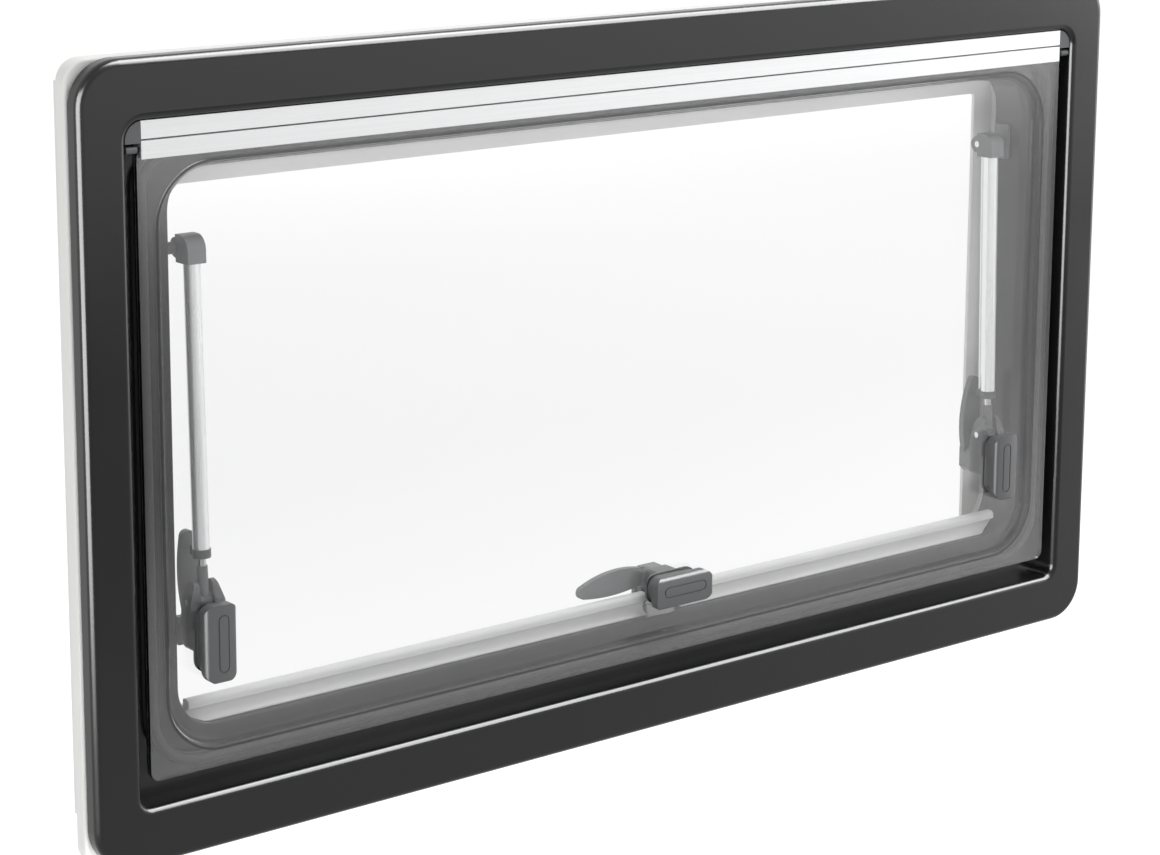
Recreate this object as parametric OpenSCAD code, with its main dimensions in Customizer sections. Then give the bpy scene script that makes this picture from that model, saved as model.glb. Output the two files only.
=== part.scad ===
// Top-hung caravan window, seen from outside along +Y.
// X runs along the window, Z is up and Y goes into the vehicle.
// Y = 0 is the face that lies on the wall's outer skin.
// An outline is [side inset, top inset, bottom inset, top radius, bottom radius] from the frame's edge.

/* [Outer frame] */
// Width of the window over the outer frame
frame_w = 946; // [800:2:1400]
// Height of the window over the outer frame
frame_h = 546; // [460:2:800]
// Radius of the outer corners
corner_r = 31; // [24:1:45]
// How far the flange laps over the wall round the cut-out
wall_lap = 23; // [18:1:26]
// How far the flange stands out from the wall
flange_t = 13; // [11:0.5:18]
// Rounding of the flange's outer edge
edge_r = 5; // [2:0.5:7]
// Rounding of the flange's inner edge
lip_r = 5; // [1:0.5:5.5]
// Width of the flange at the sides
side_bar = 35; // [32:1:38]
// Width of the flange at the top
top_bar = 41; // [38:1:44]
// Width of the flange at the bottom
bottom_bar = 40; // [36:1:42]
// Corner radius of the recess at the top
recess_top_r = 13; // [8:1:14]
// Corner radius of the recess at the bottom
recess_bottom_r = 9; // [5:1:14]
// Depth of the ledge behind the wall's outer skin
ledge_y = 7; // [6:0.5:9]
// Inset of the clear opening at the sides
opening_side = 74; // [72:0.5:78]
// Inset of the clear opening at the top
opening_top = 76; // [74:0.5:78]
// Inset of the clear opening at the bottom
opening_bottom = 82; // [79:0.5:86]
// Corner radius of the clear opening
opening_r = 30; // [24:1:36]
// Rounding of the clear opening's outer edge
opening_edge_r = 1.5; // [0.5:0.1:2.5]
// How deep the thick part of the frame reaches
block_y = 22; // [20:0.5:22]
// How deep the collar round the clear opening reaches
collar_y = 36; // [32:0.5:38]
// Wall of that collar
collar_wall = 12; // [10:0.5:13]

/* [Keeper rail] */
// How far the rail on the sill lies behind the ledge
keeper_set = 6; // [5:0.5:6.5]
// Depth of the rail
keeper_d = 8; // [7:0.5:8.5]
// Height of the rail
keeper_h = 18; // [15:0.5:19]
// Radius of the hollow in its front
hollow_r = 5.3; // [4.5:0.1:5.8]
// Rounding of its nose
nose_r = 3.4; // [2:0.1:3.6]
// Distance of the rail's ends from the sides of the clear opening
keeper_end = 11; // [8:0.5:20]
// Width of the gap in the rail for the middle latch
notch_w = 34; // [34:1:50]

/* [Inner frame] */
// Gap between the two flanges, for the wall that they clamp
wall_gap = 4; // [4:0.5:12]
// Thickness of the inner frame's flange
trim_flange_t = 11; // [8:0.5:13]
// Corner radius of the inner frame's flange
trim_corner_r = 16; // [10:1:24]
// Rounding of the inner frame's flange
trim_edge_r = 2.5; // [1:0.5:4]
// Inset of the raised box behind the flange
box_side = 20; // [14:1:21]
// Depth of the inner frame behind its clamp face
trim_depth = 52; // [50:1:60]
// Thickness of the inner frame's walls
trim_wall = 3; // [2:0.25:3.5]
// How far the sleeve over the collar stands back from the clamp face
sleeve_set = 18.6; // [18.6:0.1:20]
// Inset of the room-side opening at the sides and the bottom
lip_side = 82; // [80:0.5:86]
// Inset of the room-side opening at the top
lip_top = 97; // [90:1:102]
// Corner radius of the room-side opening
lip_corner_r = 4; // [2:0.5:10]

/* [Hinge] */
// Room for a plug at each end of the hinge rails
rail_end = 12; // [10:0.5:14]
// Height of each hinge rail
rail_h = 12; // [11:0.5:13]
// Groove between the two rails
rail_groove = 1.2; // [0.8:0.1:2]
// Radius of the hinge bead
bead_r = 2.4; // [2:0.1:2.6]

/* [Sash] */
// Gap between the sash and the recess at the sides
sash_gap = 9.6; // [8:0.2:11]
// Gap between the sash and the recess at the bottom
sash_bottom_gap = 16.4; // [12:0.2:18]
// How far the outer sheet lies behind the flange's face
sash_set = 5.3; // [4.5:0.1:6]
// Thickness of the outer sheet
sheet_t = 3; // [2.5:0.1:3.5]
// Thickness of the inner sheet
inner_t = 2.2; // [1.8:0.1:2.4]
// Corner radius of the outer sheet
sash_r = 7; // [3:0.5:12]
// Width of the flat rim at the sides
rim_side = 13.8; // [13:0.2:15]
// Width of the flat rim at the bottom
rim_bottom = 10.6; // [10:0.2:13]
// Corner radius of the formed part of the inner sheet
dome_r = 44; // [34:1:48]
// How far the inner sheet stands off the rim
dome_h = 6.4; // [5:0.1:6.6]
// Width of the formed slope
slope_w = 8; // [6.5:0.5:9]

/* [Latch] */
// Length of the latch cap
cap_l = 55; // [50:1:60]
// Width of the latch cap
cap_w = 25; // [24.5:0.5:28]
// Height of the latch cap
cap_t = 8; // [6.5:0.5:10]
// Radius of the cap's corners at the stay's end
cap_top_r = 7; // [5:0.5:9]
// Radius of the cap's corners at the free end
cap_end_r = 9.5; // [8:0.5:12]
// Radius of the cap's crown
crown_r = 55; // [40:1:80]
// Rounding of the cap's ends
cap_edge_r = 2.5; // [1:0.5:3]
// Rounding of the cap's long edges
cap_side_r = 4; // [2:0.5:5]
// Distance of a side latch from the clear opening
latch_in = 23; // [22:0.5:25]
// Height of a side latch above the clear opening
latch_up = 63; // [60:0.5:80]
// Distance of the middle latch from the window's middle
latch_shift = 30; // [-40:1:40]
// Height of the middle latch above the clear opening
latch_rise = 23.5; // [22:0.5:25]
// Radius of the latch spindle
spindle_r = 4.9; // [4:0.1:5.3]
// Depth of the latch base behind the inner sheet
base_depth = 15.8; // [14:0.2:16]
// Reach of the lever from its spindle
lever_l = 70; // [60:1:74]
// Thickness of the lever
lever_t = 5; // [4:0.5:6]
// Width of the lever's hub
hub_w = 20; // [18:0.5:21]
// Reach of the lever's cam
cam_l = 27; // [26:0.5:28]
// Thickness of the cam
cam_t = 4; // [3:0.5:5]
// Room that the levers keep to what they pass
swing_gap = 5; // [5:0.5:6]

/* [Stay] */
// Outer diameter of the stay's tube
tube_d = 12; // [11:0.5:13]
// Diameter of the stay's rod
rod_d = 6; // [5:0.5:7]
// Diameter of the guide strip behind the tube
strip_d = 2.6; // [2:0.2:3]
// Height of the lower pin above the latch
fork_up = 25; // [24:0.5:28]
// Depth of the upper pin below the clear opening's top
stay_drop = 58; // [50:1:80]
// How much deeper the tube's upper end lies
stay_lean = 6; // [4:0.5:7]
// How far the upper pin lies behind the tube's axis
pin_back = 9; // [8:0.5:10]
// Radius of the stay's pins
pin_r = 2.5; // [2:0.1:3]

/* [Hidden] */
$fn = 64;
fit = 0.3; // clearance between neighbours
pin_fit = 0.05; // clearance round a pin
over = 1; // how far a cut runs past a face

base_z = -wall_lap / 2;
top_z = base_z + frame_h;
face_y = -flange_t;

frame_edge = [0, 0, 0, corner_r, corner_r];
recess_edge = [side_bar, top_bar, bottom_bar, recess_top_r, recess_bottom_r];
opening_edge = [opening_side, opening_top, opening_bottom, opening_r, opening_r];
hole_inset = wall_lap + 1.5;
hole_r = 20;
hole_edge = [hole_inset, hole_inset, hole_inset, hole_r, hole_r];

// Collar, and the inner frame's sleeve that slides over it
collar_edge = shrink(opening_edge, -collar_wall);
sleeve_edge = shrink(collar_edge, -fit);
trim_y = wall_gap;
sleeve_y = trim_y + sleeve_set;
trim_back_y = trim_y + trim_depth;
trim_edge = [0, 0, 0, trim_corner_r, trim_corner_r];
box_edge = shrink(trim_edge, box_side);
lip_edge = [lip_side, lip_top, lip_side, lip_corner_r, lip_corner_r];
keeper_y = ledge_y + keeper_set;

// Sash planes, from outside in
pane_y = face_y + sash_set;
pane_back_y = pane_y + sheet_t;
rim_in_y = pane_back_y + fit;
rim_out_y = rim_in_y + inner_t;
dome_y = rim_in_y + dome_h;
dome_out_y = dome_y + inner_t;

rail_w = frame_w - 2 * (side_bar + rail_end);
rail_top_z = top_z - top_bar - fit;
groove_z = rail_top_z - rail_h - rail_groove / 2;
rail_low_z = groove_z - rail_groove / 2 - rail_h;
rail_front_y = pane_y - fit - 2;
bead_y = pane_y + 4.7;
bead_z = groove_z + 1.5;
socket_r = bead_r + fit;

pane_edge = [
    side_bar + sash_gap, top_z - groove_z + 5.5, bottom_bar + sash_bottom_gap, sash_r, sash_r
];
dome_edge = [
    pane_edge[0] + rim_side, top_z - rail_low_z + 4, pane_edge[2] + rim_bottom, dome_r, dome_r
];
seal_r = 3;
seal_edge = [
    pane_edge[0] + rim_side / 2, pane_edge[1] + 5.8, pane_edge[2] + rim_bottom / 2, 22, 36
];

latch_x = frame_w / 2 - opening_side - latch_in;
latch_z = base_z + opening_bottom + latch_up;
middle_z = base_z + opening_bottom + latch_rise;
neck_r = 8;
base_back_y = dome_out_y + base_depth;

fork_z = latch_z + fork_up;
fork_y = dome_out_y + tube_d / 2 + 1.3;
eye_r = 5;
eye_w = 9.8;
stay_rise = top_z - opening_top - stay_drop - fork_z;
stay_l = sqrt(pow(stay_rise, 2) + pow(stay_lean, 2));
stay_tilt = atan(stay_lean / stay_rise);
collar_at = 30;
collar_h = 6;
elbow_w = 14;
elbow_low = stay_l - 10;
strip_at = tube_d / 2 + strip_d / 2 + 1.9;
tube_low = collar_at + collar_h;

// The levers swing behind the stays, and their cams behind the collar
tip_lean = stay_lean * (lever_l - fork_up) / stay_rise;
lever_y = fork_y + strip_at + strip_d / 2 + tip_lean + swing_gap;
lever_back_y = lever_y + lever_t;
cam_y = collar_y + swing_gap;

function shrink(o, d) = [
    o[0] + d, o[1] + d, o[2] + d, max(o[3] - d, 1), max(o[4] - d, 1)
];
function half_w(o) = frame_w / 2 - o[0];
function low_z(o) = base_z + o[2];
function high_z(o) = top_z - o[1];

// Square corner less its round, to cut from a corner
module corner_cut(r) {
    difference() {
        square([r + over, r + over]);
        circle(r);
    }
}

// Rounded panel between x0 and x1, z0 and z1, with its top and bottom radii
module panel(x0, x1, z0, z1, rt, rb) {
    difference() {
        translate([x0, z0]) square([x1 - x0, z1 - z0]);
        translate([x1 - rt, z1 - rt]) corner_cut(rt);
        translate([x0 + rt, z1 - rt]) rotate(90) corner_cut(rt);
        translate([x0 + rb, z0 + rb]) rotate(180) corner_cut(rb);
        translate([x1 - rb, z0 + rb]) rotate(270) corner_cut(rb);
    }
}

module outline(o) {
    panel(-half_w(o), half_w(o), low_z(o), high_z(o), o[3], o[4]);
}

// Stands a flat shape up between two depths
module upright(y0, y1) {
    translate([0, y1, 0]) rotate([90, 0, 0]) linear_extrude(y1 - y0) children();
}

// Runs a section, drawn in depth and height, along X
module along_x(x0, x1) {
    translate([x0, 0, 0]) rotate([90, 0, 90]) linear_extrude(x1 - x0) children();
}

module slab(o, y0, y1) {
    upright(y0, y1) outline(o);
}

module ring(out, hole, y0, y1) {
    upright(y0, y1) difference() {
        outline(out);
        outline(hole);
    }
}

// One corner of a sweep, turned to its quarter
module sweep_corner(x, z, r, quarter) {
    translate([x, 0, z]) rotate([-90, 0, 0]) rotate([0, 0, quarter])
        rotate_extrude(angle = 90) translate([r, 0]) children();
}

// Sweeps a section round an outline. The section's x is measured outwards from the edge, its y is depth.
module sweep(o) {
    x1 = half_w(o);
    z0 = low_z(o);
    z1 = high_z(o);
    rt = o[3];
    rb = o[4];
    translate([x1, 0, z0 + rb]) linear_extrude(z1 - z0 - rt - rb) children();
    translate([-x1, 0, z0 + rb]) mirror([1, 0, 0]) linear_extrude(z1 - z0 - rt - rb) children();
    translate([x1 - rt, 0, z1]) rotate([0, -90, 0]) linear_extrude(2 * x1 - 2 * rt) children();
    translate([rb - x1, 0, z0]) rotate([0, 90, 0]) linear_extrude(2 * x1 - 2 * rb) children();
    sweep_corner(x1 - rt, z1 - rt, rt, -90) children();
    sweep_corner(x1 - rb, z0 + rb, rb, 0) children();
    sweep_corner(rb - x1, z0 + rb, rb, 90) children();
    sweep_corner(rt - x1, z1 - rt, rt, 180) children();
}

// Section that rounds an outside edge towards -Y
module round_cut(r, y) {
    difference() {
        translate([-r, y - over]) square([r + over, r + over]);
        translate([-r, y + r]) circle(r);
    }
}

module outer_frame() {
    color([0.1, 0.1, 0.11]) difference() {
        union() {
            ring(frame_edge, recess_edge, face_y, 0);
            ring(hole_edge, recess_edge, 0, ledge_y);
            ring(hole_edge, opening_edge, ledge_y, block_y);
            ring(collar_edge, opening_edge, block_y, collar_y);
        }
        sweep(frame_edge) round_cut(edge_r, face_y);
        sweep(recess_edge) mirror([1, 0, 0]) round_cut(lip_r, face_y);
        sweep(opening_edge) mirror([1, 0, 0]) round_cut(opening_edge_r, ledge_y);
    }
}

module inner_frame() {
    color([0.93, 0.93, 0.91]) difference() {
        union() {
            ring(trim_edge, shrink(hole_edge, -fit), trim_y, trim_y + trim_flange_t);
            ring(box_edge, shrink(box_edge, trim_wall), trim_y + trim_flange_t, trim_back_y);
            ring(box_edge, lip_edge, trim_back_y - trim_wall, trim_back_y);
            ring(shrink(sleeve_edge, -trim_wall), sleeve_edge, sleeve_y, trim_back_y);
        }
        sweep(trim_edge) round_cut(trim_edge_r, trim_y);
    }
}

// Rail on the sill with a hollow front and a rounded nose, open at the middle latch
module keeper_rail() {
    foot_z = low_z(opening_edge);
    nose_z = foot_z + keeper_h;
    end_x = half_w(opening_edge) - keeper_end;
    back_r = 2;
    color([0.9, 0.9, 0.88]) difference() {
        intersection() {
            along_x(-end_x, end_x) difference() {
                translate([keeper_y, foot_z]) square([keeper_d, keeper_h]);
                translate([keeper_y - 0.4, foot_z + 1.2 + hollow_r]) circle(hollow_r);
                translate([keeper_y + nose_r, nose_z - nose_r]) rotate(90) corner_cut(nose_r);
                translate([keeper_y + keeper_d - back_r, nose_z - back_r]) corner_cut(back_r);
            }
            slab(shrink(opening_edge, fit), keeper_y - over, keeper_y + keeper_d + over);
        }
        translate([latch_shift - notch_w / 2, keeper_y - over, foot_z - over])
            cube([notch_w, keeper_d + 2 * over, keeper_h + 2 * over]);
    }
}

module sash_seal() {
    lip_y = rim_out_y + fit;
    web_y = lip_y + seal_r + 1;
    web_w = 8;
    color([0.32, 0.33, 0.34]) sweep(seal_edge) {
        translate([0, lip_y + seal_r]) circle(seal_r);
        translate([-web_w / 2, web_y]) square([web_w, ledge_y - web_y]);
    }
}

module hinge_rail_upper() {
    color([0.86, 0.87, 0.88]) along_x(-rail_w / 2, rail_w / 2) difference() {
        union() {
            translate([rail_front_y, groove_z + rail_groove / 2]) square([2.2, rail_h]);
            translate([rail_front_y, rail_top_z - 2.5]) square([ledge_y - rail_front_y, 2.5]);
            translate([ledge_y - 2.5, bead_z]) square([2.5, rail_top_z - bead_z]);
            translate([bead_y - 1, bead_z]) square([2, rail_top_z - bead_z]);
            translate([bead_y, bead_z]) circle(socket_r + 1.8);
        }
        translate([bead_y, bead_z]) circle(socket_r);
        translate([bead_y - 1.8, bead_z - 8]) square([3.6, 8]);
    }
}

module hinge_rail_lower() {
    back_y = rim_out_y + fit;
    web_z = groove_z - 5.2;
    color([0.86, 0.87, 0.88]) along_x(-rail_w / 2, rail_w / 2) union() {
        translate([bead_y, bead_z]) circle(bead_r);
        translate([bead_y - 1, web_z]) square([2, bead_z - web_z]);
        translate([rail_front_y, web_z]) square([back_y + 2 - rail_front_y, 1.6]);
        translate([rail_front_y, rail_low_z]) square([2, groove_z - rail_groove / 2 - rail_low_z]);
        translate([back_y, web_z - 2.5]) square([2, 2.5]);
    }
}

// Plug that closes the end of the upper rail and fills the recess corner, with a peg below it
module hinge_cap() {
    x0 = rail_w / 2 + fit;
    x1 = half_w(recess_edge) - fit;
    low = groove_z - 2;
    peg_r = 2.4;
    web_t = 3;
    color([0.36, 0.37, 0.38]) {
        upright(rail_front_y, ledge_y) intersection() {
            panel(-x1, x1, low_z(recess_edge), rail_top_z, recess_top_r - fit, recess_bottom_r);
            translate([x0, low]) square([x1 - x0, rail_top_z - low]);
        }
        along_x(half_w(pane_edge) + fit, x1 - 1) {
            translate([rail_front_y + peg_r, low - 2 - peg_r]) circle(peg_r);
            translate([rail_front_y + peg_r, low - 2 - 2 * peg_r])
                square([ledge_y - rail_front_y - peg_r, 2 * peg_r]);
            translate([ledge_y - web_t, low - 3]) square([web_t, 3 + over]);
        }
    }
}

// Places the children at the three latch spindles
module at_left() {
    translate([-latch_x, 0, latch_z]) children();
}

module at_right() {
    translate([latch_x, 0, latch_z]) mirror([1, 0, 0]) children();
}

module at_centre() {
    translate([latch_shift, 0, middle_z]) rotate([0, -90, 0]) children();
}

// Cylinder along Y between two depths
module barrel(r, y0, y1) {
    translate([0, y1, 0]) rotate([90, 0, 0]) cylinder(r = r, h = y1 - y0);
}

module spindle_holes(r, y0, y1) {
    at_left() barrel(r, y0, y1);
    at_right() barrel(r, y0, y1);
    at_centre() barrel(r, y0, y1);
}

module outer_pane() {
    color([0.75, 0.78, 0.8, 0.4]) difference() {
        slab(pane_edge, pane_y, pane_back_y);
        spindle_holes(spindle_r + fit, pane_y - over, pane_back_y + over);
    }
}

// Quarter of a bent band of sheet, from straight down to the given angle
module bent_band(r, t, angle) {
    reach = 3 * r;
    intersection() {
        difference() {
            circle(r + t / 2);
            circle(r - t / 2);
        }
        polygon([
            [0, 0], [0, -reach], [-reach * tan(angle / 2), -reach], [-reach * sin(angle), -reach * cos(angle)]
        ]);
    }
}

// Formed slope of the inner sheet, as two arcs that meet halfway
module slope_section() {
    angle = 2 * atan(dome_h / slope_w);
    bend_r = slope_w / (2 * sin(angle));
    mid_y = rim_in_y + inner_t / 2;
    translate([0, mid_y + bend_r]) bent_band(bend_r, inner_t, angle);
    translate([-slope_w, mid_y + dome_h - bend_r]) rotate(180) bent_band(bend_r, inner_t, angle);
}

module inner_pane() {
    color([0.75, 0.78, 0.8, 0.4]) difference() {
        union() {
            ring(pane_edge, dome_edge, rim_in_y, rim_out_y);
            sweep(dome_edge) slope_section();
            slab(shrink(dome_edge, slope_w), dome_y, dome_out_y);
        }
        spindle_holes(neck_r + fit, rim_in_y - over, dome_out_y + over);
    }
}

// Crowned section across the cap, with rounded long edges
module cap_section(front_y) {
    side_x = cap_w / 2 - cap_side_r;
    side_y = front_y + crown_r - sqrt(pow(crown_r, 2) - pow(side_x, 2)) + cap_side_r;
    difference() {
        intersection() {
            translate([0, front_y + crown_r]) circle(crown_r, $fn = 128);
            translate([-cap_w / 2, front_y]) square([cap_w, cap_t]);
        }
        translate([side_x, side_y]) rotate(270) corner_cut(cap_side_r);
        translate([-side_x, side_y]) rotate(180) corner_cut(cap_side_r);
    }
}

// Cap outside the pane, drawn round its spindle with its length upright
module latch_cap() {
    front_y = pane_y - cap_t;
    half_l = cap_l / 2;
    half_cap = cap_w / 2;
    color([0.33, 0.34, 0.35]) difference() {
        intersection() {
            upright(front_y, pane_y) panel(-half_cap, half_cap, -half_l, half_l, cap_top_r, cap_end_r);
            translate([0, 0, -half_l]) linear_extrude(cap_l) cap_section(front_y);
            // rounded section along the cap
            along_x(-cap_w, cap_w) difference() {
                translate([front_y, -half_l]) square([cap_t, cap_l]);
                translate([front_y + cap_edge_r, half_l - cap_edge_r]) rotate(90) corner_cut(cap_edge_r);
                translate([front_y + cap_edge_r, cap_edge_r - half_l]) rotate(180) corner_cut(cap_edge_r);
            }
        }
        upright(front_y - over, front_y + 0.8) difference() {
            panel(-3.2, 5.4, -20.5, 20.5, 4.2, 4.2);
            panel(-2.2, 4.4, -19.5, 19.5, 3.2, 3.2);
        }
    }
}

// Body inside the pane that carries the spindle, and the fork of a stay
module latch_base(with_fork) {
    spacer_half = 24;
    plate_t = 2;
    color([0.3, 0.31, 0.32]) difference() {
        union() {
            upright(pane_back_y, dome_y) panel(-10.5, 10.5, -spacer_half, spacer_half, 9, 10);
            barrel(neck_r, dome_y, dome_out_y);
            upright(dome_out_y, dome_out_y + plate_t) panel(-11.5, 11.5, -spacer_half, spacer_half, 8, 10);
            upright(dome_out_y, base_back_y) panel(-11, 11, -10, 13, 3, 4);
            if (with_fork) saddle();
        }
        barrel(spindle_r + fit, pane_y, base_back_y + over);
        along_x(-20, 20) translate([fork_y, fork_up]) circle(pin_r + pin_fit);
    }
}

// Hood over the base whose two horns hold the stay's lower pin
module saddle() {
    horn_z = fork_up + 14;
    slot_w = eye_w + 2 * fit;
    intersection() {
        upright(dome_out_y, base_back_y) difference() {
            polygon([
                [-13.5, 8], [13.5, 8], [13.5, fork_up], [8.5, horn_z],
                [-8.5, horn_z], [-13.5, fork_up]
            ]);
            translate([-slot_w / 2, fork_up - eye_r - 1]) square([slot_w, horn_z]);
        }
        along_x(-14, 14) union() {
            translate([fork_y, horn_z - 5]) circle(5);
            polygon([
                [dome_out_y, 8], [base_back_y - 1, 8], [fork_y + 5, horn_z - 5],
                [fork_y - 5, horn_z - 5], [dome_out_y, fork_up - 4]
            ]);
        }
    }
}

// Lever inside, with the cam that hooks behind the collar
module latch_lever() {
    bulge = 11.5; // how far the side towards the window's middle stands off the spindle
    waist = 7.5; // how far the other side does
    cam_half = 6;
    arm_w = 8;
    color([0.4, 0.41, 0.42]) {
        upright(lever_y, lever_back_y) difference() {
            union() {
                intersection() {
                    translate([bulge - 90, 30]) circle(90, $fn = 160);
                    translate([150 - waist, 42]) circle(150, $fn = 200);
                    translate([-hub_w, -13]) square([2 * hub_w, lever_l + 8]);
                }
                translate([-0.8, lever_l - 4.9]) circle(4.9);
                square(hub_w, center = true);
            }
            translate([2, -14]) rotate(-45) square(hub_w);
        }
        upright(base_back_y + fit, lever_y) intersection() {
            square(hub_w, center = true);
            circle(hub_w * 0.58);
        }
        barrel(spindle_r, pane_y + 0.5, lever_y);
        // arm back to the cam, and the cam's finger
        upright(lever_y, cam_y + cam_t)
            translate([-hub_w / 2, -cam_half]) square([arm_w, 2 * cam_half]);
        upright(cam_y, cam_y + cam_t) {
            translate([cam_half - cam_l, -cam_half]) square([cam_l - cam_half - hub_w / 2 + arm_w, 2 * cam_half]);
            translate([cam_half - cam_l, 0]) circle(cam_half);
        }
    }
}

// Frame along a stay, with Z from the lower pin to the upper one
module along_stay() {
    translate([0, fork_y, fork_z]) rotate([-stay_tilt, 0, 0]) children();
}

module stay_end() {
    color([0.36, 0.37, 0.38]) along_stay() difference() {
        union() {
            along_x(-eye_w / 2, eye_w / 2) circle(eye_r);
            cylinder(r1 = eye_r - 0.6, r2 = rod_d / 2 + 0.8, h = collar_at - 6);
        }
        along_x(-eye_w, eye_w) circle(pin_r + pin_fit);
        translate([0, 0, eye_r + 3]) cylinder(d = rod_d, h = collar_at);
    }
}

module stay_rod() {
    color([0.8, 0.81, 0.82]) along_stay()
        translate([0, 0, eye_r + 3]) cylinder(d = rod_d, h = stay_l * 0.6);
}

module stay_collar() {
    color([0.28, 0.29, 0.3]) along_stay() difference() {
        union() {
            translate([0, 0, collar_at]) cylinder(d = tube_d + 1, h = collar_h);
            translate([-2.5, 0, collar_at]) cube([5, strip_at + strip_d / 2 + 0.6, collar_h]);
        }
        translate([0, 0, collar_at - over]) cylinder(d = rod_d + 2 * fit, h = collar_h + 2 * over);
    }
}

module stay_tube() {
    color([0.78, 0.79, 0.8]) along_stay() difference() {
        translate([0, 0, tube_low]) cylinder(d = tube_d, h = elbow_low - tube_low);
        translate([0, 0, tube_low - over]) cylinder(d = tube_d - 2.4, h = stay_l);
    }
}

module stay_strip() {
    color([0.8, 0.81, 0.82]) along_stay()
        translate([0, strip_at, tube_low]) cylinder(d = strip_d, h = elbow_low - tube_low);
}

// Hood on the tube's end that bends back to the upper pin
module stay_elbow() {
    bend_r = 10;
    front = -tube_d / 2 - 1.2;
    top = stay_l + 9;
    back_r = 7;
    color([0.42, 0.43, 0.44]) along_stay() along_x(-elbow_w / 2, elbow_w / 2) difference() {
        union() {
            translate([front, elbow_low]) square([pin_back - front, top - elbow_low]);
            translate([pin_back, stay_l]) circle(back_r);
        }
        translate([front + bend_r, top - bend_r]) rotate(90) corner_cut(bend_r);
        translate([pin_back, stay_l]) circle(pin_r + pin_fit);
    }
}

// Plate on the collar that holds the upper pin, drawn for the right-hand side
module stay_bracket() {
    plate_x = half_w(opening_edge) - latch_x;
    plate_t = 3;
    boss_r = 4.2;
    color([0.35, 0.36, 0.37]) along_stay() difference() {
        union() {
            translate([plate_x - plate_t, pin_back - 8, stay_l - 14]) cube([plate_t - fit, 15, 28]);
            along_x(elbow_w / 2 + 1.5, plate_x - plate_t) translate([pin_back, stay_l]) circle(boss_r);
        }
        along_x(0, plate_x - plate_t) translate([pin_back, stay_l]) circle(pin_r + pin_fit);
    }
}

module stay_pins() {
    color([0.7, 0.71, 0.72]) along_stay() {
        along_x(-13, 13) circle(pin_r);
        along_x(-elbow_w / 2 - 0.6, half_w(opening_edge) - latch_x - 4)
            translate([pin_back, stay_l]) circle(pin_r);
    }
}

// The stays stand in the plane of their latches
module left_stay() {
    translate([-latch_x, 0, 0]) mirror([1, 0, 0]) children();
}

module right_stay() {
    translate([latch_x, 0, 0]) children();
}

outer_frame();
inner_frame();
keeper_rail();
sash_seal();
hinge_rail_upper();
hinge_rail_lower();
mirror([1, 0, 0]) hinge_cap();  // hinge_cap_left
hinge_cap();  // hinge_cap_right
outer_pane();
inner_pane();
at_left() latch_cap();  // latch_cap_left
at_right() latch_cap();  // latch_cap_right
at_centre() latch_cap();  // latch_cap_centre
at_left() latch_base(true);  // latch_base_left
at_right() latch_base(true);  // latch_base_right
at_centre() latch_base(false);  // latch_base_centre
at_left() latch_lever();  // latch_lever_left
at_right() latch_lever();  // latch_lever_right
at_centre() latch_lever();  // latch_lever_centre
left_stay() stay_bracket();  // stay_bracket_left
right_stay() stay_bracket();  // stay_bracket_right
left_stay() stay_elbow();  // stay_elbow_left
right_stay() stay_elbow();  // stay_elbow_right
left_stay() stay_tube();  // stay_tube_left
right_stay() stay_tube();  // stay_tube_right
left_stay() stay_collar();  // stay_collar_left
right_stay() stay_collar();  // stay_collar_right
left_stay() stay_rod();  // stay_rod_left
right_stay() stay_rod();  // stay_rod_right
left_stay() stay_end();  // stay_end_left
right_stay() stay_end();  // stay_end_right
left_stay() stay_strip();  // stay_strip_left
right_stay() stay_strip();  // stay_strip_right
left_stay() stay_pins();  // stay_pins_left
right_stay() stay_pins();  // stay_pins_right
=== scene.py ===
import math
import bmesh
import bpy
from mathutils import Matrix, Vector


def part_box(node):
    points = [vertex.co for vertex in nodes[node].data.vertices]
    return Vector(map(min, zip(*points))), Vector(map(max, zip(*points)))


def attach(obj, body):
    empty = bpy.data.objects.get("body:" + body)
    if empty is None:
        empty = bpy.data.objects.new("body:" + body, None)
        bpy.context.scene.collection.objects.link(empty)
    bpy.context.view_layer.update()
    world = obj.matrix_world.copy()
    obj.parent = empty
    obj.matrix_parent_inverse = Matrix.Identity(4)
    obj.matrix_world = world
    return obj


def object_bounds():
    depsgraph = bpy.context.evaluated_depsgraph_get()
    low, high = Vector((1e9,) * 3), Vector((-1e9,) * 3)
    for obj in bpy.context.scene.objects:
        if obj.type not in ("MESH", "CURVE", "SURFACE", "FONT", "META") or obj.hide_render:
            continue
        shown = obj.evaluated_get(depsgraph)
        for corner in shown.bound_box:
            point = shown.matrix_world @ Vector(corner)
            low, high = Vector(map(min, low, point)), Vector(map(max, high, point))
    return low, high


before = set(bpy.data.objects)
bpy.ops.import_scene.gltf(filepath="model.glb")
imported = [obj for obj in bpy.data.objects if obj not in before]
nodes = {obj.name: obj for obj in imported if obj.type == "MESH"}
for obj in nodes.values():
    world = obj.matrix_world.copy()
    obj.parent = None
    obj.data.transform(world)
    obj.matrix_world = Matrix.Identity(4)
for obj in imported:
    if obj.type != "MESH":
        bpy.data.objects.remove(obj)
cadLow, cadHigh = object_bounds()
print("frame loaded, nodes:", len(nodes))

# picture that the camera frames, in pixels
picture = {"width": 1160, "height": 855}

camera = {
    "place": (-1.3396, -1.6469, 0.7709),  # metres, in the window's frame
    "yaw": 37.818,  # degrees to the right of straight at the window
    "pitch": 11.079,  # degrees down
    "roll": 0.292,
    "focal": 2922,  # pixels
    "shift": -0.15,  # the optical axis passes above the picture's middle
}

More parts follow.
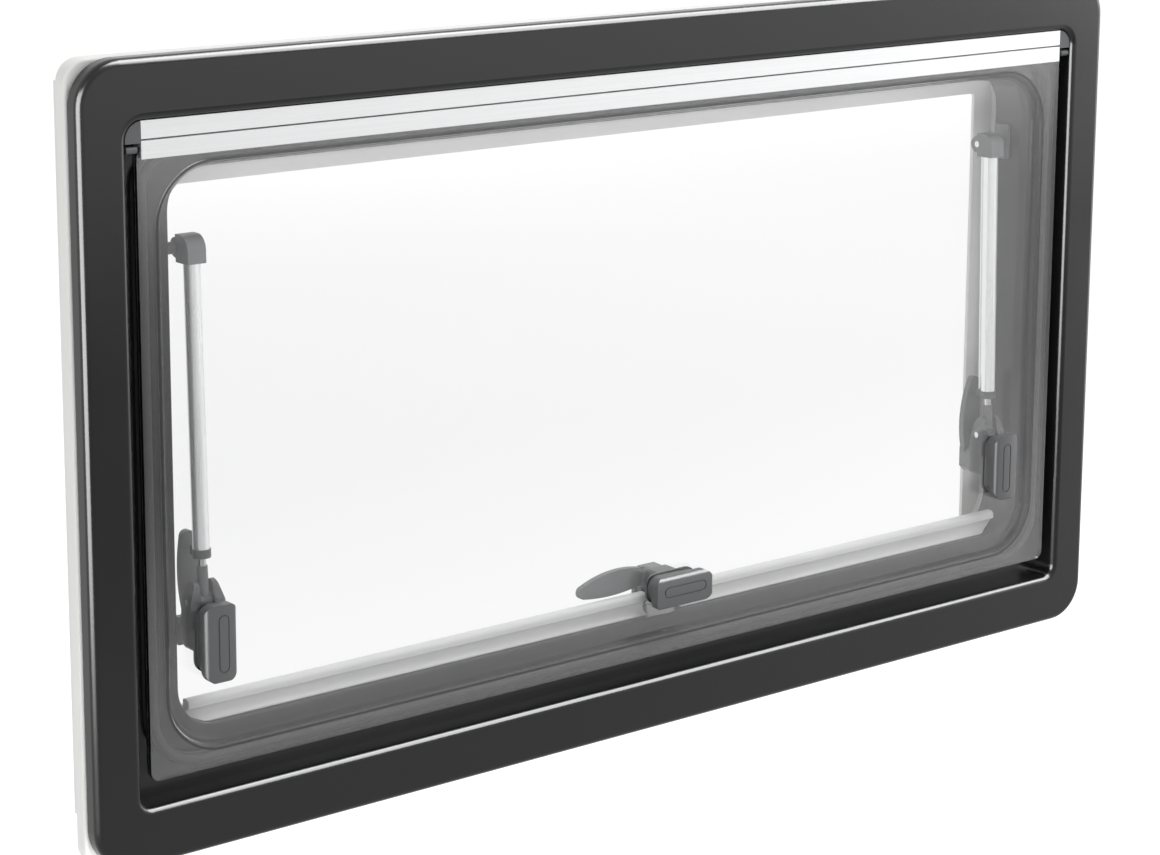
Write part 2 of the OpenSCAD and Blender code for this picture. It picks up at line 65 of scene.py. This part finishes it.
studio = {
    "ambient": 0.58,  # light from all sides
    "rightGlow": 0.50,  # brighter towards the right-hand side
    "backLight": 0.18,  # what the backdrop adds to the light on the room side
    "floorDrop": 0.45,  # metres from the window down to the floor
    "floorDark": 0.31,  # how the floor shows in the glossy faces
    "floorRight": 0.45,  # added towards the right
    "floorNear": 0.40,  # added close to the window
    "floorFar": 0.80,  # added far in front
    "floorGlow": 0.42,  # keeps the floor pale in the picture
    "middle": (0, 0, 0.26),  # what a lamp without an aim of its own points at
}

# size in metres, and brightness of the lamp's face; a sheen only shows as gloss on sheenOn,
# and a lamp marked inside only lights insideOn, which stands behind the panes
sheenOn = ("outer_frame", "latch_cap_left", "latch_cap_right", "latch_cap_centre")
insideOn = ("inner_frame", "stay_tube_left", "stay_tube_right", "stay_elbow_left", "stay_elbow_right")
lamps = {
    "topSheen": {"place": (1.15, -0.90, 2.00), "size": (2.20, 2.40), "glow": 15, "sheen": True},
    "leftSheen": {"place": (-2.05, -0.85, 0.35), "size": (2.00, 2.00), "glow": 15, "sheen": True},
    "rightSheen": {"place": (2.60, -0.95, 0.25), "size": (0.90, 1.60), "glow": 2.6, "sheen": True},
    "topBox": {"place": (0.60, -0.60, 2.10), "size": (1.40, 0.60), "glow": 6.5},
    "leftBox": {"place": (-2.20, -0.60, 0.60), "size": (0.60, 1.20), "glow": 1.6},
    "rightBox": {"place": (2.30, -1.10, 1.00), "size": (1.20, 1.40), "glow": 2.4},
    "lowBox": {"place": (-0.20, -0.80, -0.35), "size": (1.60, 0.50), "glow": 5.0, "aim": (0, 0.03, 0.43),
               "inside": True},
}


class Wire:  # one node output, so that patterns are written as sums
    def __init__(self, sheet, socket):
        self.sheet = sheet
        self.socket = socket

    def mathNode(self, operation, first, second=None):
        values = {0: first} if second is None else {0: first, 1: second}
        return self.sheet.node("Math", {"operation": operation}, values)["Value"]

    def __add__(self, other):
        return self.mathNode("ADD", self, other)

    def __radd__(self, other):
        return self.mathNode("ADD", other, self)

    def __sub__(self, other):
        return self.mathNode("SUBTRACT", self, other)

    def __rsub__(self, other):
        return self.mathNode("SUBTRACT", other, self)

    def __mul__(self, other):
        return self.mathNode("MULTIPLY", self, other)

    def __rmul__(self, other):
        return self.mathNode("MULTIPLY", other, self)

    def largest(self, other):
        return self.mathNode("MAXIMUM", self, other)

    def below(self, limit):
        return self.mathNode("LESS_THAN", self, limit)


class NodeSheet:  # a material's or the world's nodes
    def __init__(self, tree):
        self.tree = tree
        tree.nodes.clear()

    def find(self, sockets, name):
        if isinstance(name, int):
            return sockets[name]
        return next(s for s in sockets if s.name == name and s.enabled)

    def node(self, kind, settings=None, inputs=None):
        made = self.tree.nodes.new("ShaderNode" + kind)
        for name, value in (settings or {}).items():
            setattr(made, name, value)
        for name, value in (inputs or {}).items():
            socket = self.find(made.inputs, name)
            if isinstance(value, Wire):
                self.tree.links.new(value.socket, socket)
            else:
                socket.default_value = value
        return {s.name: Wire(self, s) for s in made.outputs if s.enabled}

    def place(self, stretch=(1, 1, 1)):  # metres on the object, stretched for grain
        where = self.node("TexCoord")["Object"]
        return self.node("Mapping", None, {"Vector": where, "Scale": stretch})["Vector"]

    def noise(self, where, scale, detail=2):
        made = self.node("TexNoise", None, {"Vector": where, "Scale": scale, "Detail": detail})
        return made["Fac"] if "Fac" in made else made["Factor"]

    def spread(self, value, low, high, outLow=0, outHigh=1):
        sockets = {"Value": value, "From Min": low, "From Max": high, "To Min": outLow, "To Max": outHigh}
        return self.node("MapRange", {"interpolation_type": "SMOOTHSTEP"}, sockets)["Result"]

    def tint(self, factor, first, second):
        made = self.node("Mix", {"data_type": "RGBA"}, {"Factor": factor, "A": first, "B": second})
        return made["Result"]

    def bump(self, height, distance, strength=1):
        sockets = {"Height": height, "Distance": distance, "Strength": strength}
        return self.node("Bump", None, sockets)["Normal"]

    def out(self, shader, kind="OutputMaterial"):
        self.node(kind, None, {"Surface": shader})


def newMaterial(name):
    material = bpy.data.materials.new(name)
    material.use_nodes = True
    return material, NodeSheet(material.node_tree)


def rgba(colour, alpha=1):
    return (*colour, alpha)


plastics = {
    "frameBlack": {"colour": (0.0085, 0.0085, 0.0092), "rough": 0.22, "grain": 900, "depth": 0.00002},
    "frameWhite": {"colour": (0.80, 0.80, 0.79), "rough": 0.42, "grain": 700, "depth": 0.00003},
    # the frame's white made a little darker, as painted shade on the keeper rail, which stands in shade
    # behind the panes
    "keeperPaintedShadeWhite": {"colour": (0.78, 0.78, 0.775), "rough": 0.40, "grain": 700, "depth": 0.00003},
    "hingeGrey": {"colour": (0.115, 0.118, 0.122), "rough": 0.42, "grain": 1100, "depth": 0.00004},
    "capGrey": {"colour": (0.110, 0.112, 0.116), "rough": 0.36, "grain": 1300, "depth": 0.00004},
    "leverGrey": {"colour": (0.175, 0.178, 0.184), "rough": 0.45, "grain": 1300, "depth": 0.00005},
    "stayGrey": {"colour": (0.165, 0.168, 0.174), "rough": 0.45, "grain": 1300, "depth": 0.00004},
    "sealRubber": {"colour": (0.060, 0.060, 0.062), "rough": 0.62, "grain": 500, "depth": 0.00006},
    # near-black of the painted dark line round the formed part
    "paintedDarkLoopBlack": {"colour": (0.003, 0.003, 0.003), "rough": 0.60, "grain": 500, "depth": 0.00002},
}


# slow variation from the moulding, and how far it and the grain change the colour and the gloss
moulding = {"cloud": 9, "detail": 3, "dark": 0.975, "light": 1.025, "brightest": 0.9,
            "cloudRough": 0.10, "grainRough": 0.06, "ior": 1.48, "bump": 0.5}


def mouldedPlastic(name):
    look = plastics[name]
    material, sheet = newMaterial(name)
    where = sheet.place()
    grain = sheet.noise(where, look["grain"], moulding["detail"])
    cloud = sheet.noise(where, moulding["cloud"], moulding["detail"])
    dark = tuple(c * moulding["dark"] for c in look["colour"])
    light = tuple(min(c * moulding["light"], moulding["brightest"]) for c in look["colour"])
    colour = sheet.tint(sheet.spread(cloud, 0.3, 0.7), rgba(dark), rgba(light))
    rough = look["rough"] + (cloud - 0.5) * moulding["cloudRough"] + (grain - 0.5) * moulding["grainRough"]
    shader = sheet.node("BsdfPrincipled", None, {
        "Base Color": colour, "Roughness": rough, "IOR": moulding["ior"],
        "Normal": sheet.bump(grain, look["depth"], moulding["bump"])})
    sheet.out(shader["BSDF"])
    return material


metals = {
    "railSilver": {"colour": (0.90, 0.905, 0.91), "rough": 0.34, "metallic": 0.70,
                   "lines": (6, 900, 900), "depth": 0.00003},
    "staySilver": {"colour": (0.94, 0.945, 0.95), "rough": 0.26, "metallic": 0.75,
                   "lines": (900, 900, 8), "depth": 0.00003},
    "chromeSteel": {"colour": (0.78, 0.785, 0.79), "rough": 0.12, "metallic": 1.0,
                    "lines": (400, 400, 12), "depth": 0.00001},
}
# lines along the drawing direction, and a slow cloud that changes the gloss
drawing = {"dark": 0.96, "cloud": 14, "lineRough": 0.08, "cloudRough": 0.05, "bump": 0.4}


def drawnMetal(name):
    look = metals[name]
    material, sheet = newMaterial(name)
    lines = sheet.noise(sheet.place(look["lines"]), 1, 2)
    cloud = sheet.noise(sheet.place(), drawing["cloud"], 2)
    dark = tuple(c * drawing["dark"] for c in look["colour"])
    colour = sheet.tint(sheet.spread(lines, 0.35, 0.65), rgba(dark), rgba(look["colour"]))
    rough = look["rough"] + (lines - 0.5) * drawing["lineRough"] + (cloud - 0.5) * drawing["cloudRough"]
    shader = sheet.node("BsdfPrincipled", None, {
        "Base Color": colour, "Metallic": look["metallic"], "Roughness": rough,
        "Normal": sheet.bump(lines, look["depth"], drawing["bump"])})
    sheet.out(shader["BSDF"])
    return material


acrylic = {"ior": 1.49, "rough": 0.0, "tint": (0.996, 0.996, 0.997), "clear": (0.999, 0.999, 0.999),
           "shade": (0.96, 0.965, 0.965), "cloud": 6}


def clearAcrylic():
    material, sheet = newMaterial("clearAcrylic")
    cloud = sheet.noise(sheet.place(), acrylic["cloud"], 2)
    tint = sheet.tint(cloud, rgba(acrylic["tint"]), rgba(acrylic["clear"]))
    clear = sheet.node("BsdfPrincipled", None, {
        "Base Color": tint, "Roughness": acrylic["rough"], "IOR": acrylic["ior"],
        "Transmission Weight": 1.0})["BSDF"]
    shade = sheet.node("BsdfTransparent", None, {"Color": rgba(acrylic["shade"])})["BSDF"]
    shadow = sheet.node("LightPath")["Is Shadow Ray"]
    sheet.out(sheet.node("MixShader", None, {0: shadow, 1: clear, 2: shade})["Shader"])
    return material


finishes = {name: mouldedPlastic(name) for name in plastics}
finishes.update({name: drawnMetal(name) for name in metals})
finishes["clearAcrylic"] = clearAcrylic()
print("finishes made:", len(finishes))

# the keeper rail gets the frame's white with painted shade
nodeFinish = {
    "outer_frame": "frameBlack", "inner_frame": "frameWhite", "keeper_rail": "keeperPaintedShadeWhite",
    "sash_seal": "sealRubber",
    "hinge_rail_upper": "railSilver", "hinge_rail_lower": "railSilver",
    "hinge_cap_left": "hingeGrey", "hinge_cap_right": "hingeGrey",
    "outer_pane": "clearAcrylic", "inner_pane": "clearAcrylic",
}
for side in ("left", "right", "centre"):
    nodeFinish["latch_cap_" + side] = "capGrey"
    nodeFinish["latch_base_" + side] = "capGrey"
    nodeFinish["latch_lever_" + side] = "leverGrey"
for side in ("left", "right"):
    nodeFinish["stay_bracket_" + side] = "stayGrey"
    nodeFinish["stay_elbow_" + side] = "stayGrey"
    nodeFinish["stay_end_" + side] = "stayGrey"
    nodeFinish["stay_tube_" + side] = "staySilver"
    nodeFinish["stay_collar_" + side] = "capGrey"
    nodeFinish["stay_rod_" + side] = "chromeSteel"
    nodeFinish["stay_strip_" + side] = "staySilver"
    nodeFinish["stay_pins_" + side] = "chromeSteel"
for name, finish in nodeFinish.items():
    slots = nodes[name].data.materials
    slots.clear()
    slots.append(finishes[finish])
print("finishes on the nodes:", len(nodeFinish))


# painted dark line round the formed part: a thin near-black strip on the outer sheet that stands in for the
# dark line which the foot of the formed sheet's slope shows, in metres from the outer frame's edges
paintedDarkLoop = {"side": 0.0584, "top": 0.0715, "bottom": 0.0670, "corner": 0.044, "width": 0.0017,
        "thick": 0.00026, "play": 0.00002, "cornerSteps": 16}
# white caps over the screws on the room side of the inner frame's flange, in metres
screwCap = {"radius": 0.0042, "height": 0.0018, "dish": 0.0019, "inset": 0.0100, "flange": 0.011,
            "across": 7, "up": 4, "rowShare": 0.93, "taper": 0.86, "sides": 24}


def newPiece(name, shape, finish):
    mesh = bpy.data.meshes.new(name)
    bmesh.ops.recalc_face_normals(shape, faces=shape.faces)
    shape.to_mesh(mesh)
    shape.free()
    mesh.materials.append(finishes[finish])
    piece = bpy.data.objects.new(name, mesh)
    bpy.context.scene.collection.objects.link(piece)
    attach(piece, "window")


# builds the painted dark line, a flat near-black ring on the room-side face of the outer sheet
def makePaintedDarkLoop():
    low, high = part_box("outer_frame")
    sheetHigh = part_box("outer_pane")[1]
    x1 = high.x - paintedDarkLoop["side"]
    z0, z1 = low.z + paintedDarkLoop["bottom"], high.z - paintedDarkLoop["top"]
    shape = bmesh.new()
    bmesh.ops.create_grid(shape, x_segments=1, y_segments=1, size=1)
    bmesh.ops.scale(shape, verts=shape.verts, vec=(x1, (z1 - z0) / 2, 1))
    bmesh.ops.bevel(shape, geom=list(shape.verts), offset=paintedDarkLoop["corner"], segments=paintedDarkLoop["cornerSteps"],
                    affect="VERTICES", profile=0.5, material=-1)
    bmesh.ops.inset_region(shape, faces=list(shape.faces), thickness=paintedDarkLoop["width"], use_boundary=True,
                           use_even_offset=True)
    widest = max(shape.faces, key=lambda f: f.calc_area())
    bmesh.ops.delete(shape, geom=[widest], context="FACES_ONLY")
    bmesh.ops.rotate(shape, verts=shape.verts, matrix=Matrix.Rotation(math.radians(90), 3, "X"))
    strip = bmesh.ops.extrude_face_region(shape, geom=list(shape.faces))
    moved = [v for v in strip["geom"] if isinstance(v, bmesh.types.BMVert)]
    bmesh.ops.translate(shape, verts=moved, vec=(0, paintedDarkLoop["thick"], 0))
    bmesh.ops.translate(shape, verts=shape.verts, vec=(0, sheetHigh.y + paintedDarkLoop["play"], (z0 + z1) / 2))
    newPiece("sash_painted_dark_loop", shape, "paintedDarkLoopBlack")


def makeScrewCaps():
    low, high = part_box("inner_frame")
    face = low.y + screwCap["flange"]  # room side of the clamping flange
    x1 = high.x - screwCap["inset"]
    z0, z1 = low.z + screwCap["inset"], high.z - screwCap["inset"]
    rowX = x1 * screwCap["rowShare"]
    across, up = screwCap["across"], screwCap["up"]
    places = [(-rowX + 2 * rowX * i / (across - 1), z) for i in range(across) for z in (z0, z1)]
    places += [(x, z0 + (z1 - z0) * (i + 1) / (up + 1)) for i in range(up) for x in (-x1, x1)]
    radius, height = screwCap["radius"], screwCap["height"]
    shape = bmesh.new()
    for x, z in places:
        cap = bmesh.ops.create_cone(shape, cap_ends=True, segments=screwCap["sides"], radius1=radius,
                                    radius2=radius * screwCap["taper"], depth=height)["verts"]
        top = max({f for v in cap for f in v.link_faces}, key=lambda f: f.calc_center_median().z)
        bmesh.ops.inset_individual(shape, faces=[top], thickness=screwCap["dish"])
        bmesh.ops.translate(shape, verts=top.verts, vec=(0, 0, -height / 2))
        whole = list(cap) + list(top.verts)
        bmesh.ops.rotate(shape, verts=whole, matrix=Matrix.Rotation(math.radians(-90), 3, "X"))
        bmesh.ops.translate(shape, verts=whole, vec=(x, face + height / 2, z))
    newPiece("screw_caps", shape, "frameWhite")


makePaintedDarkLoop()
makeScrewCaps()
print("small pieces made")


def makeCamera():
    yaw, pitch, roll = (math.radians(camera[k]) for k in ("yaw", "pitch", "roll"))
    ahead = Vector((math.sin(yaw) * math.cos(pitch), math.cos(yaw) * math.cos(pitch), -math.sin(pitch)))
    right = Vector((math.cos(yaw), -math.sin(yaw), 0))
    up = right.cross(ahead)
    right, up = (math.cos(roll) * right + math.sin(roll) * up, math.cos(roll) * up - math.sin(roll) * right)
    data = bpy.data.cameras.new("camera")
    data.sensor_width = 36
    data.lens = camera["focal"] / picture["width"] * data.sensor_width
    data.shift_y = camera["shift"]
    data.clip_start, data.clip_end = 0.05, 50
    holder = bpy.data.objects.new("camera", data)
    bpy.context.scene.collection.objects.link(holder)
    turn = Matrix((right, up, -ahead)).transposed()
    holder.matrix_world = Matrix.Translation(camera["place"]) @ turn.to_4x4()
    bpy.context.scene.camera = holder


def lampGroup(name, members):
    group = bpy.data.collections.get(name)
    if group is None:
        group = bpy.data.collections.new(name)
        for member in members:
            group.objects.link(nodes[member])
    return group


def makeLamp(name):
    lamp = lamps[name]
    data = bpy.data.lights.new(name, "AREA")
    data.shape = "RECTANGLE"
    data.size, data.size_y = lamp["size"]
    data.energy = lamp["glow"] * math.pi * data.size * data.size_y
    holder = bpy.data.objects.new(name, data)
    bpy.context.scene.collection.objects.link(holder)
    if lamp.get("sheen"):
        holder.visible_diffuse = False
        holder.light_linking.receiver_collection = lampGroup("sheenOn", sheenOn)
    if lamp.get("inside"):
        holder.light_linking.receiver_collection = lampGroup("insideOn", insideOn)
    holder.location = lamp["place"]
    holder.visible_camera = holder.visible_transmission = False
    aim = Vector(lamp.get("aim", studio["middle"]))
    holder.rotation_euler = (aim - holder.location).to_track_quat("-Z", "Y").to_euler()


def makeWorld():
    world = bpy.data.worlds.new("studio")
    world.use_nodes = True
    bpy.context.scene.world = world
    sheet = NodeSheet(world.node_tree)
    way = sheet.node("SeparateXYZ", None, {"Vector": sheet.node("TexCoord")["Generated"]})
    glow = sheet.spread(way["X"], 0.35, 0.95)
    behind = sheet.spread(way["Y"], -0.1, 0.2)
    level = studio["ambient"] + glow * studio["rightGlow"] + behind * studio["backLight"]
    path = sheet.node("LightPath")
    seen = path["Is Camera Ray"].largest(path["Is Glossy Ray"] * behind)
    # a ray that was reflected inside the panes and comes back to the front sees no white
    passed = path["Is Transmission Ray"] * behind.largest(path["Glossy Depth"].below(0.5))
    direct = seen.largest(passed)
    strength = direct + (1 - direct) * level
    shader = sheet.node("Background", None, {"Color": (1, 1, 1, 1), "Strength": strength})
    sheet.out(shader["Background"], "OutputWorld")


def makeFloor():
    mesh = bpy.data.meshes.new("floor")
    shape = bmesh.new()
    bmesh.ops.create_grid(shape, x_segments=1, y_segments=1, size=20)
    bmesh.ops.translate(shape, verts=shape.verts, vec=(0, 0, cadLow.z - studio["floorDrop"]))
    shape.to_mesh(mesh)
    shape.free()
    floor = bpy.data.objects.new("floor", mesh)
    bpy.context.scene.collection.objects.link(floor)
    material, sheet = newMaterial("floorPale")
    diffuse = sheet.node("BsdfDiffuse", None, {"Color": (0.86, 0.86, 0.86, 1)})["BSDF"]
    path = sheet.node("LightPath")
    spot = sheet.node("SeparateXYZ", None, {"Vector": sheet.place()})
    mirrored = sheet.spread(spot["X"], 0.4, 3.4) * studio["floorRight"] + studio["floorDark"]
    mirrored = mirrored + sheet.spread(spot["Y"], -2.3, -1.2) * studio["floorNear"]
    mirrored = mirrored + sheet.spread(spot["Y"], -3.2, -6.0) * studio["floorFar"]
    behind = sheet.spread(spot["Y"], -0.05, 0.15)
    # straight through the panes, the floor in front is as white as the one behind
    white = behind.largest(path["Is Transmission Ray"] * path["Glossy Depth"].below(0.5))
    level = white + (1 - white) * mirrored
    mirror = sheet.node("Emission", None, {"Color": (1, 1, 1, 1), "Strength": level})["Emission"]
    lift = {"Color": (1, 1, 1, 1), "Strength": studio["floorGlow"]}
    pale = sheet.node("Emission", None, lift)["Emission"]
    plain = sheet.node("AddShader", None, {0: diffuse, 1: pale})["Shader"]
    sides = {0: path["Is Camera Ray"], 1: diffuse, 2: plain}
    floorSeen = sheet.node("MixShader", None, sides)["Shader"]
    direct =path["Is Glossy Ray"].largest(path["Is Transmission Ray"])
    sheet.out(sheet.node("MixShader", None, {0: direct, 1: floorSeen, 2: mirror})["Shader"])
    mesh.materials.append(material)


makeCamera()
makeWorld()
makeFloor()
for name in lamps:
    makeLamp(name)
print("camera and light made")

scene = bpy.context.scene
scene.view_settings.view_transform = "Standard"
